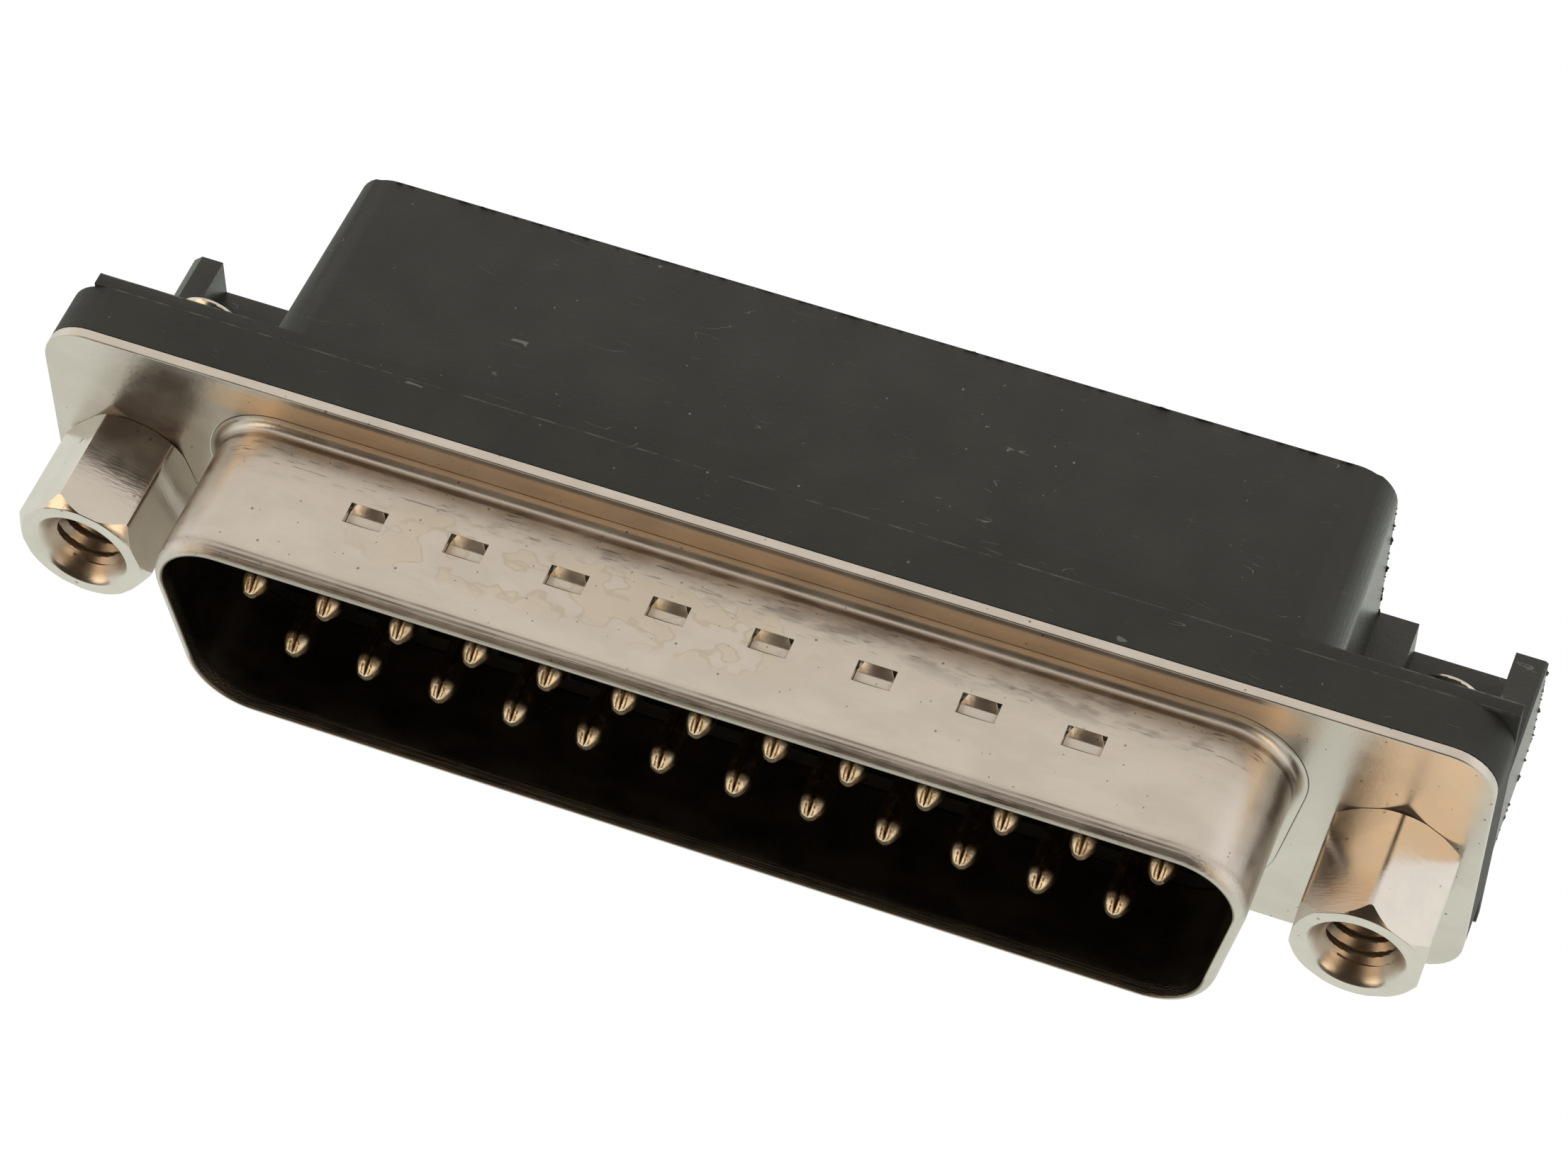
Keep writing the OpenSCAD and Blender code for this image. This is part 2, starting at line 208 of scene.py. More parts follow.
def prism(name, outline, d0, d1, squeeze=0.0):
    """Carries an (x, h) outline from depth d0 to d1, narrowed by squeeze millimetres a side."""
    verts = []
    for d, s in ((d0, 0.0), (d1, squeeze)):
        verts += [P(x - math.copysign(s, x), d, h) for x, h in outline]
    n = len(outline)
    faces = grid_faces(2, n) + [tuple(range(n)), tuple(range(n, 2 * n))]
    return mesh_piece(name, verts, faces)


def rod(name, x, h, r, d0, d1, n=48):
    """A plain round rod along the depth."""
    outline = [(x + r * math.cos(2 * math.pi * k / n), h + r * math.sin(2 * math.pi * k / n))
               for k in range(n)]
    return prism(name, outline, d0, d1)


def arc(cx, cy, rx, ry, a0, a1, n):
    """n + 1 points on an ellipse arc, angles in degrees."""
    out = []
    for k in range(n + 1):
        a = math.radians(a0 + (a1 - a0) * k / n)
        out.append((cx + rx * math.cos(a), cy + ry * math.sin(a)))
    return out


# %% [markdown]
# ## The D outline
#
# The shell is a tapered D: four corner centres, 10 degrees of slope on the short sides. A ring
# of radius r about the same four centres is the outline at that offset, so every layer of the
# sheet, inside and out, comes from one list. The wide side is sampled exactly at the edges of
# the dimples, which lets their windows be left out of the grid instead of cut from it.

# %% Rings round the D
CORNER_R = 2.6
HALF_W, HALF_H = 19.9, 4.6
SLOPE = math.radians(10)
CX, CH = HALF_W - CORNER_R, HALF_H - CORNER_R
LOW_X = CX - 2 * CH * math.tan(SLOPE)
DIMPLES = [(k - 3.5) * 3.73 for k in range(8)]
DIMPLE_W = 1.4
DIMPLE_D = (-3.0, -2.14)


def steps(a, b, size):
    """Evenly spaced values from a up to, not including, b."""
    n = max(1, round(abs(b - a) / size))
    return [a + (b - a) * k / n for k in range(n)]


TOP_X = []
_edges = [-CX] + [x + s * DIMPLE_W / 2 for x in DIMPLES for s in (-1, 1)] + [CX]
for _a, _b in zip(_edges, _edges[1:]):
    TOP_X += steps(_a, _b, 0.25)


def d_ring(r, fine=14):
    """Points (x, h) once round the D at radius r about the corner centres."""
    pts = [(x, CH + r) for x in TOP_X]
    for cx, ch, a0, a1 in ((CX, CH, 90, -10), (LOW_X, -CH, -10, -90)):
        pts += arc(cx, ch, r, r, a0, a1, fine)[:-1] if ch > 0 else []
        if ch > 0:
            a = math.radians(-10)
            p0 = (CX + r * math.cos(a), CH + r * math.sin(a))
            p1 = (LOW_X + r * math.cos(a), -CH + r * math.sin(a))
            pts += [(p0[0] + (p1[0] - p0[0]) * k / 8, p0[1] + (p1[1] - p0[1]) * k / 8)
                    for k in range(8)]
        else:
            pts += arc(cx, ch, r, r, a0, a1, fine)[:-1]
    pts += [(x, -CH - r) for x in steps(LOW_X, -LOW_X, 0.5)]
    pts += arc(-LOW_X, -CH, r, r, -90, -170, fine)[:-1]
    a = math.radians(190)
    p0 = (-LOW_X + r * math.cos(a), -CH + r * math.sin(a))
    p1 = (-CX + r * math.cos(a), CH + r * math.sin(a))
    pts += [(p0[0] + (p1[0] - p0[0]) * k / 8, p0[1] + (p1[1] - p0[1]) * k / 8) for k in range(8)]
    pts += arc(-CX, CH, r, r, 190, 90, fine)[:-1]
    return pts


print("points round the D:", len(d_ring(CORNER_R)))

# %% [markdown]
# ## The drawn shell
#
# A press pulls the shell out of the flange in one stroke. The sheet keeps its thickness, so the
# section is one bent strip: a fillet at the root, a straight wall, and a lip that the pierced
# bottom of the cup leaves turned in. `SECTION` is that strip, as (radius, depth), from the
# flange's front face out over the lip and back along the inside. Sweeping it round the rings
# gives the whole cup. Round the dimples the punch has also drawn the wall down a little.

# %% Shell: section and sweep
ROOT_R = 0.4
LIP_D, LIP_T = 0.52, 0.37
INNER_R = CORNER_R - SHEET
_wall = steps(-ROOT_R - 0.02, DIMPLE_D[1], 0.2) + steps(DIMPLE_D[1], DIMPLE_D[0], 0.22)
_wall += steps(DIMPLE_D[0], -SHELL_L + LIP_D, 0.24)
SECTION = arc(CORNER_R + ROOT_R, -ROOT_R, ROOT_R, ROOT_R, 90, 180, 8)
SECTION = [(r, d) for r, d in SECTION]
SECTION += [(CORNER_R, d) for d in _wall]
SECTION += arc(CORNER_R - LIP_T, -SHELL_L + LIP_D, LIP_T, LIP_D, 0, -90, 8)
SECTION += arc(CORNER_R - LIP_T, -SHELL_L + 0.09, SHEET - LIP_T, 0.09, -90, -180, 4)
SECTION += [(INNER_R, d) for d in reversed(_wall)]
SECTION += arc(CORNER_R + ROOT_R, -ROOT_R, ROOT_R + SHEET, ROOT_R + SHEET, 180, 90, 8)


def dish(x, d):
    """How far the wall is drawn down near the dimples."""
    mid = sum(DIMPLE_D) / 2
    return sum(0.045 * math.exp(-((x - c) / 1.0) ** 2 - ((d - mid) / 0.6) ** 2) for c in DIMPLES)


verts, rows = [], len(SECTION)
cols = len(d_ring(CORNER_R))
for r, d in SECTION:
    for k, (x, h) in enumerate(d_ring(r)):
        if k < len(TOP_X) and -SHELL_L + 0.6 < d < -0.7:
            h -= dish(x, d)
        verts.append(P(x, d, h))
faces = []
for f in grid_faces(rows, cols):
    mid = sum((verts[i] for i in f), Vector()) / 4
    mx, md, mh = mid[0] / MM, (mid[1] - FACE_Y) / MM, (mid[2] - AXIS_Z) / MM
    inside = any(abs(mx - c) < DIMPLE_W / 2 for c in DIMPLES)
    if inside and DIMPLE_D[0] < md < DIMPLE_D[1] and mh > 3.9:
        continue
    faces.append(f)
print("shell grid", rows, "x", cols, "faces", len(faces))

# %% [markdown]
# ## Lanced dimples
#
# Each dimple is a little bridge: two short cuts across the wall, and the strip between them
# pushed in. Its ends stay joined front and back, its flanks are sheared. The rear ends of the
# cuts tear open into small triangles, because the strip narrows there as it stretches. The
# strip and the sheared faces of the window belong to the shell, so they go in the same mesh.

# %% Shell: dimples
STRIP = [  # depth from the flange, drop below the wall, half width
    (-3.0, 0.0, 0.70), (-2.95, 0.05, 0.70), (-2.885, 0.24, 0.70), (-2.85, 0.275, 0.69),
    (-2.80, 0.285, 0.685), (-2.46, 0.285, 0.685), (-2.41, 0.265, 0.68), (-2.37, 0.225, 0.67),
    (-2.18, 0.03, 0.52), (-2.14, 0.0, 0.5),
]
STRIP_T = 0.36


def quad_strip(rows_of_pts):
    """Adds rows of equal length to the shell as joined quads."""
    start = len(verts)
    n = len(rows_of_pts[0])
    for row in rows_of_pts:
        verts.extend(row)
    faces.extend(grid_faces(len(rows_of_pts), n, start, wrap_cols=False))


for c in DIMPLES:
    loops = []
    for d, drop, half in STRIP:
        top = HALF_H - dish(c, d) - drop
        lean = 0.012 * noise.noise(Vector((c * 3.1, d * 2.0, 7.0)))
        loops.append([P(c - half, d, top + lean), P(c - half + 0.03, d, top + 0.02 + lean),
                      P(c + half - 0.03, d, top + 0.01), P(c + half, d, top - 0.01),
                      P(c + half, d, top - STRIP_T), P(c - half, d, top - STRIP_T),
                      P(c - half, d, top + lean)])
    quad_strip(loops)
    for side in (-1, 1):
        x = c + side * DIMPLE_W / 2
        cut_d = [DIMPLE_D[0] + (DIMPLE_D[1] - DIMPLE_D[0]) * k / 4 for k in range(5)]
        quad_strip([[P(x, d, HALF_H - dish(x, d)) for d in cut_d],
                    [P(x, d, HALF_H - SHEET - dish(x, d)) for d in cut_d]])
    for d in DIMPLE_D:
        cut_x = [c + DIMPLE_W * (k / 6 - 0.5) for k in range(7)]
        quad_strip([[P(x, d, HALF_H - dish(x, d)) for x in cut_x],
                    [P(x, d, HALF_H - SHEET - dish(x, d)) for x in cut_x]])
shell = mesh_piece("drawn_shell", verts, faces, 40)
print("shell vertices", len(shell.data.vertices))

# %% [markdown]
# ## The flange
#
# The flange is what is left of the strip the shell was drawn from: a flat plate with rounded
# corners, a D opening that takes up the root fillet, and two screw holes. A filled curve is the
# shortest way to a plate with holes, and its own bevel rounds the blanked edges.

# %% Flange plate
FLANGE_R = 1.75


def flat_plate(name, loops, d0, d1, edge):
    """A plate with holes: the first loop is its outline, the others are openings."""
    curve = bpy.data.curves.new(name, "CURVE")
    curve.dimensions = "2D"
    curve.fill_mode = "BOTH"
    curve.extrude = ((d1 - d0) / 2 - edge) * MM
    curve.bevel_depth = edge * MM
    curve.bevel_resolution = 2
    curve.offset = -edge * MM
    for loop in loops:
        spline = curve.splines.new("POLY")
        spline.points.add(len(loop) - 1)
        for point, (x, h) in zip(spline.points, loop):
            point.co = (x * MM, h * MM, 0, 1)
        spline.use_cyclic_u = True
    obj = bpy.data.objects.new(name, curve)
    bpy.context.scene.collection.objects.link(obj)
    deps = bpy.context.evaluated_depsgraph_get()
    mesh = bpy.data.meshes.new_from_object(obj.evaluated_get(deps))
    bpy.data.objects.remove(obj)
    stand = Matrix.Translation(P(0, (d0 + d1) / 2, 0)) @ Matrix.Rotation(math.pi / 2, 4, "X")
    mesh.transform(stand)
    plate = bpy.data.objects.new(name, mesh)
    bpy.context.scene.collection.objects.link(plate)
    shade(plate, 30)
    return plate


def round_rect(w, h, r, n=10):
    """Outline of a rectangle with rounded corners, about the origin."""
    pts = []
    for sx, sy, a in ((1, 1, 0), (-1, 1, 90), (-1, -1, 180), (1, -1, 270)):
        pts += arc(sx * (w / 2 - r), sy * (h / 2 - r), r, r, a, a + 90, n)
    return pts


def circle_pts(x, h, r, n=40):
    return arc(x, h, r, r, 0, 360, n)[:-1]


flange = flat_plate("flange_plate", [
    round_rect(FLANGE_W, FLANGE_H, FLANGE_R), d_ring(CORNER_R + ROOT_R - 0.01),
    circle_pts(-SCREW_X, 0, 1.53), circle_pts(SCREW_X, 0, 1.53)], 0, SHEET, 0.06)
shell = join(shell, flange)
shade(shell, 40)
print("shell with flange", len(shell.data.polygons))

# %% [markdown]
# ## Jackscrews
#
# A hex standoff is turned from bar: the lathe cuts a cone over each end of the hexagon, and
# where cone meets flat the edge is a hyperbola. No cutting is needed to draw that. At each
# angle the flat is a known distance out, so the depth where the cone reaches it is known too,
# and a grid with those depths has the curved edges in it. Threads are the same idea: a radius
# that rises and falls as the angle and the depth advance together, one pitch a turn.

# %% Jackscrews
HEX_AF, HEX_L = 4.55, 4.49
RING_R, MOUTH_R, CORE_R = 2.3, 1.8, 1.2
FRONT_SLOPE, REAR_SLOPE = math.tan(math.radians(55)), math.tan(math.radians(35))
PITCH = 0.635
STUD_R, STUD_L = 1.42, 6.75
TURNS = {"jackscrew_left": (-1, -14.0), "jackscrew_right": (1, 26.0)}
N_HEX = 180


def hex_radius(a, turn):
    """Distance from the axis to the hexagon at angle a, with the corners slightly rounded."""
    local = (a - turn) % 60 - 30
    flat = HEX_AF / 2 / math.cos(math.radians(local))
    return min(flat, HEX_AF / 2 / math.cos(math.radians(30)) - 0.03)


def thread_wave(a, d, hand=1):
    """0 at the root and 1 at the crest of a V thread, at angle a (degrees) and depth d."""
    t = (d / PITCH - hand * a / 360) % 1
    v = 1 - abs(2 * t - 1)
    return min(1.0, max(0.0, (v - 0.1) / 0.75))


def jackscrew(name, side, turn):
    """The hex with its chamfers, countersink and tapped hole, and the stud behind it."""
    pts = []
    angles = [360 * k / N_HEX for k in range(N_HEX)]
    rings = []

    def ring(fn):
        rings.append([fn(a) for a in angles])

    d_end = -HEX_L + 3.4
    for d in [d_end - 0.025 * k for k in range(int((3.4 - (MOUTH_R - CORE_R)) / 0.025) + 1)]:
        ring(lambda a, d=d: (CORE_R + 0.2 * (1 - thread_wave(a, d)), d))
    ring(lambda a: (CORE_R + 0.12, -HEX_L + MOUTH_R - CORE_R - 0.06))
    for t in (0.25, 0.5, 0.75, 0.96):
        ring(lambda a, t=t: (CORE_R + 0.06 + t * (MOUTH_R - CORE_R - 0.06),
                             -HEX_L + (1 - t) * (MOUTH_R - CORE_R)))
    ring(lambda a: (MOUTH_R + 0.02, -HEX_L))
    ring(lambda a: (min(RING_R, hex_radius(a, turn)) - 0.03, -HEX_L))
    for t in (0.0, 0.5, 1.0):
        def cone(a, t=t, front=True):
            flat = hex_radius(a, turn)
            r0 = min(RING_R, flat)
            r = r0 + (flat - r0) * t
            return r, -HEX_L + (r - r0) * FRONT_SLOPE + 0.02
        ring(cone)
    ring(lambda a: (hex_radius(a, turn), -HEX_L / 2))
    for t in (1.0, 0.5, 0.0):
        def cone2(a, t=t):
            flat = hex_radius(a, turn)
            r0 = min(RING_R, flat)
            r = r0 + (flat - r0) * t
            return r, -(r - r0) * REAR_SLOPE - 0.02
        ring(cone2)
    ring(lambda a: (min(RING_R, hex_radius(a, turn)) - 0.05, 0.0))
    ring(lambda a: (1.3, 0.0))
    for d in [0.05 + 0.035 * k for k in range(int((STUD_L - 0.1) / 0.035) + 1)]:
        ring(lambda a, d=d: (STUD_R - 0.24 * (1 - thread_wave(a, d + 0.18)), d))
    ring(lambda a: (STUD_R - 0.16, STUD_L - 0.02))
    ring(lambda a: (STUD_R - 0.22, STUD_L))
    verts, n = [], len(angles)
    for row in rings:
        for a, (r, d) in zip(angles, row):
            t = math.radians(a)
            verts.append(P(side * SCREW_X + r * math.cos(t), d, r * math.sin(t)))
    faces = grid_faces(len(rings), n)
    tip = len(verts)
    verts.append(P(side * SCREW_X, d_end + 0.6, 0))
    faces += [(tip, (k + 1) % n, k) for k in range(n)]
    back = len(verts)
    verts.append(P(side * SCREW_X, STUD_L, 0))
    last = (len(rings) - 1) * n
    faces += [(back, last + k, last + (k + 1) % n) for k in range(n)]
    return mesh_piece(name, verts, faces, 22)


screws = {}
for node, (side, turn) in TURNS.items():
    screws[node] = jackscrew(node.replace("jackscrew", "hex_screw"), side, turn)
    print(screws[node].name, len(screws[node].data.polygons), "faces")

# %% [markdown]
# ## Contacts
#
# A pin like this is rolled from strip, so a seam runs along its top, and coining the tip lets
# the seam part into a small V. One contact is a single sweep: tip, pin, collar, thin shank,
# quarter bend and solder tail. The groove is only a radius that dips near the seam's angle.
# A row is the same contact again and again at one pitch, which is Geometry Nodes' own work.

# %% Contacts: one of each row
PIN_R, TIP_L, TAIL_R, BEND_R = 0.51, 0.62, 0.32, 0.9
HOLDER_D = 4.3
ROW_H = 1.42
ROWS = {"upper": (ROW_H, 9.0, range(1, 14)), "lower": (-ROW_H, 6.16, range(14, 26))}
PIN_N = 40


def pin_radius(a, d, lower):
    """Radius of the pin at angle a and depth d: the taper of the tip, less the seam."""
    t = min(1.0, max(0.0, (d + PIN_L) / TIP_L))
    r = 0.23 + (PIN_R - 0.23) * math.sin(t * math.pi / 2) ** (0.75 if lower else 0.95)
    facet = 0.10 * (1 - t) * abs(math.sin(math.radians(2 * a)))
    width = 7 + (30 if lower else 38) * (1 - t) ** 1.2
    away = abs((a - 90 + 180) % 360 - 180) / width
    groove = max(0.0, 1 - away) * (0.07 + 0.2 * (1 - t))
    return r * (1 - facet) - min(groove, r * 0.6)


def contact(name, row_h, tail_d, lower):
    """One contact on the middle line, from its coined tip to the end of its solder tail."""
    rings = []
    angles = [360 * k / PIN_N for k in range(PIN_N)]

    def along(d, fn):
        rings.append([P(fn(a) * math.cos(math.radians(a)), d,
                        row_h + fn(a) * math.sin(math.radians(a))) for a in angles])

    along(-PIN_L, lambda a: 0.02)
    along(-PIN_L, lambda a: 0.6 * pin_radius(a, -PIN_L, lower))
    for k in range(15):
        d = -PIN_L + 0.02 + TIP_L * k / 14
        along(d, lambda a, d=d: pin_radius(a, d, lower))
    for d in (-3.2, -1.2, SHEET + 0.96 - 0.02):
        along(d, lambda a, d=d: pin_radius(a, d, lower))
    for d, r in ((1.38, 0.85), (2.38, 0.85), (2.38, PIN_R), (HOLDER_D, PIN_R), (HOLDER_D, TAIL_R)):
        along(d, lambda a, r=r: r)
    for k in range(9):
        f = math.radians(90 * k / 8)
        cd = tail_d - BEND_R + BEND_R * math.sin(f)
        ch = row_h - BEND_R + BEND_R * math.cos(f)
        rings.append([P(TAIL_R * math.cos(math.radians(a)),
                        cd + TAIL_R * math.sin(math.radians(a)) * math.sin(f),
                        ch + TAIL_R * math.sin(math.radians(a)) * math.cos(f)) for a in angles])
    for h, r in ((TAIL_H + 0.1, TAIL_R), (TAIL_H, TAIL_R - 0.06), (TAIL_H, 0.02)):
        rings.append([P(r * math.cos(math.radians(a)), tail_d + r * math.sin(math.radians(a)), h)
                      for a in angles])
    flat = [p for row in rings for p in row]
    n = len(rings)
    faces = grid_faces(n, PIN_N)
    faces += [tuple(range(PIN_N)), tuple(range((n - 1) * PIN_N, n * PIN_N))]
    return mesh_piece(name, flat, faces, 40)


# %% Contacts: a row by Geometry Nodes


def row_tree():
    """Sets one object down again and again along x, then makes the copies real."""
    tree = bpy.data.node_groups.new("contact_row", "GeometryNodeTree")
    face = tree.interface
    for name, kind in (("Contact", "NodeSocketObject"), ("Count", "NodeSocketInt"),
                       ("First X", "NodeSocketFloat"), ("Pitch", "NodeSocketFloat"),
                       ("Finish", "NodeSocketMaterial")):
        face.new_socket(name, in_out="INPUT", socket_type=kind)
    face.new_socket("Geometry", in_out="OUTPUT", socket_type="NodeSocketGeometry")
    new = tree.nodes.new
    entry, leave = new("NodeGroupInput"), new("NodeGroupOutput")
    line, start, step = new("GeometryNodeMeshLine"), new("ShaderNodeCombineXYZ"), \
        new("ShaderNodeCombineXYZ")
    source, put = new("GeometryNodeObjectInfo"), new("GeometryNodeInstanceOnPoints")
    real, paint = new("GeometryNodeRealizeInstances"), new("GeometryNodeSetMaterial")
    link = tree.links.new
    link(entry.outputs["Count"], line.inputs["Count"])
    link(entry.outputs["First X"], start.inputs["X"])
    link(entry.outputs["Pitch"], step.inputs["X"])
    link(start.outputs[0], line.inputs["Start Location"])
    link(step.outputs[0], line.inputs["Offset"])
    link(entry.outputs["Contact"], source.inputs["Object"])
    link(line.outputs["Mesh"], put.inputs["Points"])
    link(source.outputs["Geometry"], put.inputs["Instance"])
    link(put.outputs["Instances"], real.inputs["Geometry"])
    link(real.outputs["Geometry"], paint.inputs["Geometry"])
    link(entry.outputs["Finish"], paint.inputs["Material"])
    link(paint.outputs["Geometry"], leave.inputs["Geometry"])
    return tree


def grow(name, tree, **values):
    """Runs a node tree on an empty mesh and keeps the plain mesh that comes out."""
    obj = bpy.data.objects.new(name, bpy.data.meshes.new(name))
    bpy.context.scene.collection.objects.link(obj)
    mod = obj.modifiers.new("grow", "NODES")
    mod.node_group = tree
    ids = {s.name: s.identifier for s in tree.interface.items_tree if s.in_out == "INPUT"}
    for key, value in values.items():
        mod[ids[key.replace("_", " ")]] = value
    return bake(obj)


PITCH_X = 2.77
contact_row = row_tree()
FINISHES = {}


def make_row(row, finish):
    """One row of contacts, spaced from the boxes of its first two solids."""
    row_h, tail_d, members = ROWS[row]
    one = contact(row + "_contact", row_h, tail_d, row == "lower")
    centre = [sum(c[0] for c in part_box(f"contact_{i}")) / 2 for i in (members[0], members[1])]
    made = grow(f"contacts_{row}", contact_row, Contact=one, Count=len(members),
                First_X=centre[0], Pitch=centre[1] - centre[0], Finish=finish)
    bpy.data.objects.remove(one)
    return made


# %% [markdown]
# ## Black housing
#
# Behind the flange the moulding is a plate with a hood on it. The hood has soft upper edges,
# a little draft and an open underside; a foot on each side carries a rib, a screw pad and an
# end plate. It is built the way the mould is cut, as a few blocks joined and hollowed, and
# then every arris gets the small radius that a cutter leaves.

# %% Housing: body
HOOD_W, HOOD_DRAFT, HOOD_R, LEFT_IN = 20.2, 0.2, 1.6, 1.0
HOOD_L = HOOD_W - LEFT_IN
TOP_H = FLANGE_H / 2
LAYER_D = SEAM_D + 0.51
ROOF_T, SIDE_T, REAR_T = 1.15, 1.5, 1.1
INSERT_HOLE = 1.77
FOOT_OUT, FOOT_IN, RIB_OUT = FLANGE_W / 2 - 0.27, FLANGE_W / 2 - 1.47, 21.5
END_H, RIB_H, PAD_H = 4.775, 4.725, 3.075
LAYER_L = FLANGE_W / 2 - LEFT_IN


def unite(obj, *others):
    """Joins solids into one with exact booleans."""
    for other in others:
        mod = obj.modifiers.new("unite", "BOOLEAN")
        mod.operation = "UNION"
        mod.solver = "EXACT"
        mod.object = other
        bake(obj)
        bpy.data.objects.remove(other)
    return obj


def foot(side):
    """Rib, screw pad and end plate of one side, as one profile."""
    b, inside, soft = BOARD_H, 18.2, 0.35 if side < 0 else 0.1
    outline = [(inside, b), (FOOT_OUT, b), (FOOT_OUT, b + END_H - soft),
               (FOOT_OUT - soft, b + END_H), (FOOT_IN, b + END_H), (FOOT_IN, b + PAD_H),
               (RIB_OUT, b + PAD_H), (RIB_OUT, b + RIB_H), (inside, b + RIB_H)]
    return prism("foot", [(side * x, h) for x, h in outline], SEAM_D + 0.1, DEPTH)


arch = [(-HOOD_L, BOARD_H), (HOOD_W, BOARD_H)]
arch += arc(HOOD_W - HOOD_R, TOP_H - HOOD_R, HOOD_R, HOOD_R, 0, 90, 10)
arch += arc(-HOOD_L + HOOD_R, TOP_H - HOOD_R, HOOD_R, HOOD_R, 90, 180, 10)
housing = box("housing", -LAYER_L, FLANGE_W / 2, SEAM_D, LAYER_D, BOARD_H, TOP_H)
hood = prism("hood", arch, SEAM_D + 0.1, DEPTH, HOOD_DRAFT)
housing = unite(housing, hood, foot(1), foot(-1))
inner = HOOD_W - HOOD_DRAFT - SIDE_T
housing = cut(
    housing,
    box("hollow", -inner + LEFT_IN, inner, HOLDER_D, DEPTH - REAR_T, BOARD_H - 1, TOP_H - ROOF_T),
    box("spacer_step", -inner + LEFT_IN - 0.3, inner + 0.3, HOLDER_D, DEPTH - REAR_T, BOARD_H - 1,
        BOARD_H + 1.3),
    rod("left_insert_hole", -SCREW_X, 0, INSERT_HOLE, SEAM_D - 1, LAYER_D + 0.4),
    rod("right_insert_hole", SCREW_X, 0, INSERT_HOLE, SEAM_D - 1, LAYER_D + 0.4))
BOARD_HOLE_D = -FACE_Y / MM
for side in (-1, 1):
    hole = rod("board_hole", 0, 0, 1.5, -4, 4)
    centre = P(side * SCREW_X, BOARD_HOLE_D, BOARD_H + 1)
    hole.data.transform(Matrix.Translation(centre) @ Matrix.Rotation(math.pi / 2, 4, "X")
                        @ Matrix.Translation(-P(0, 0, 0)))
    housing = cut(housing, hole)
housing = bevel(housing, 0.06, 2, 40)
shade(housing, 30)
print("housing faces", len(housing.data.polygons))

# %% [markdown]
# ## Flash and torn edges
#
# Where the halves of the mould meet, a film of plastic creeps out and tears when the part is
# thrown clear. Seen close it is a thin ragged fin along the rear edges. Each fin here is a
# strip with a triangular section whose height follows noise, with most of it kept near zero,
# so that it breaks up into scraps.

# %% Housing: flash
for v in housing.data.vertices:
    if v.co.y > FACE_Y + (DEPTH - 0.12) * MM and v.co.z > AXIS_Z + (TOP_H - 0.3) * MM:
        v.co.z -= 0.09 * MM


def fin(a, b, out, thick, height, seed, n, bias=0.35, pace=1.3):
    """A ragged fin from a to b (x, d, h), standing out along the given direction."""
    a, b, out = Vector(a), Vector(b), Vector(out)
    across = (b - a).normalized().cross(out).normalized()
    pts = []
    for k in range(n + 1):
        p = a.lerp(b, k / n)
        along = (b - a).length * k / n
        rough = noise.noise(Vector((along * pace, seed, 0)))
        rough += 0.6 * noise.noise(Vector((along * pace * 3.1, seed, 5)))
        tall = height * min(1.0, max(0.02, rough + bias))
        q = p + out * tall + across * 0.04 * noise.noise(Vector((along * 2.3, seed, 9)))
        pts += [P(*(p - across * thick)), P(*(p + across * thick)), P(*q)]
    faces = grid_faces(n + 1, 3) + [(0, 1, 2), (3 * n, 3 * n + 1, 3 * n + 2)]
    return mesh_piece("fin", pts, faces, 30)


HW = HOOD_W - HOOD_DRAFT
fins = [
    fin((-HW + LEFT_IN + 1.5, DEPTH - 0.06, TOP_H - 0.12), (HW - 1.6, DEPTH - 0.06, TOP_H - 0.12),
        (0, 0, 1), 0.05, 0.12, 3.0, 420, 0.3),
    fin((HW - 0.02, DEPTH - 0.05, TOP_H - 1.7), (HW - 0.02, DEPTH - 0.05, -1.6),
        (1, 0, 0), 0.04, 0.12, 8.0, 240, 0.3, 2.4),
    fin((FOOT_OUT - 0.03, DEPTH - 0.05, BOARD_H + END_H - 0.4),
        (FOOT_OUT - 0.03, DEPTH - 0.05, BOARD_H + 0.1), (1, 0, 0), 0.05, 0.12, 12.0, 240, 0.4, 2.6),
    fin((FOOT_OUT - 0.04, LAYER_D + 0.2, BOARD_H + 0.1), (FOOT_OUT - 0.04, DEPTH - 0.1, BOARD_H + 0.1),
        (1, 0, 0), 0.05, 0.12, 15.0, 360, 0.3, 2.2),
    fin((-LAYER_L + 0.1, LAYER_D - 0.05, TOP_H - 0.1),
        (-LAYER_L + 5.0, LAYER_D - 0.05, TOP_H - 0.07), (0, 0.9, 0.1), 0.04, 0.35, 21.0, 60, 0.05),
]
housing = join(housing, *fins)
print("fins", len(fins))

# %% [markdown]
# ## Shader sums
#
# The finishes below are sums of masks, and sums read best as sums. `Val` wraps a socket and
# turns +, -, * and / into Math nodes; `Finish` builds a material and adds any other node by
# its type, its settings and its inputs. Positions reach the shader in the same x, d and h as
# the meshes, so a stain can be placed with the numbers of a drawing.

# %% Shader helpers


